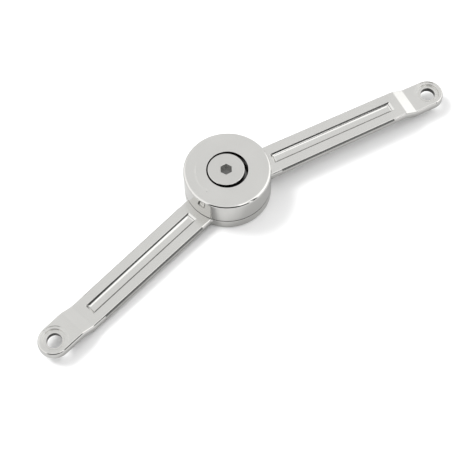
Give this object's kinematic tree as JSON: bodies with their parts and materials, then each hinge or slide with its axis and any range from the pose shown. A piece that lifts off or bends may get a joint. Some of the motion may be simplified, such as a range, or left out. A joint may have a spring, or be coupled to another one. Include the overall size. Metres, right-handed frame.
{
  "type": "lid stay",
  "caption": "Free-stop lid stay: flat arms with eyes at their ends, joined by a round friction hub whose hold is set with a hexagon-socket screw",
  "frame": {"origin": "on the hinge axis, at the underside of the hub", "axes": "+Z along the hinge axis towards the adjusting screw; the lower arm points along -X"},
  "size_m": [0.1786, 0.0508, 0.0146],
  "materials": {
    "plated_casting": "satin",
    "plated_screw": "satin",
    "bush_plastic": "satin",
    "washer_steel": "satin",
    "spring_steel": "satin",
    "friction_bronze": "satin",
    "plate_steel": "satin"
  },
  "bodies": {
    "base": {"lower_arm": "plated_casting", "friction_disc_1": "friction_bronze", "friction_disc_2": "friction_bronze", "friction_disc_3": "friction_bronze", "friction_disc_4": "friction_bronze", "keyed_washer": "washer_steel", "disc_spring_lower": "spring_steel"},
    "upper": {"upper_arm": "plated_casting", "pivot_bush": "bush_plastic", "slide_washer": "bush_plastic", "drum_plate_1": "plate_steel", "drum_plate_2": "plate_steel", "drum_plate_3": "plate_steel"},
    "spring": {"disc_spring_upper": "spring_steel"},
    "screw": {"adjusting_screw": "plated_screw"}
  },
  "joints": [
    {"name": "arm_hinge", "type": "hinge", "parent": "base", "child": "upper", "pos_m": [0, 0, 0.0072], "axis": [0, 0, 1], "range_deg": [-150.8, 190.2]},
    {"name": "clamp_release", "type": "slide", "parent": "base", "child": "spring", "axis": [0, 0, 1], "range_m": [0, 0.0006]},
    {"name": "screw_turn", "type": "hinge", "parent": "spring", "child": "screw", "pos_m": [-0.00028, 0.00029, 0.0114], "axis": [0, 0, 1], "range_deg": [0, 270]}
  ],
  "couplings": [
    {"joint": "screw_turn", "follows": "clamp_release", "rad_per_m": 7854}
  ]
}
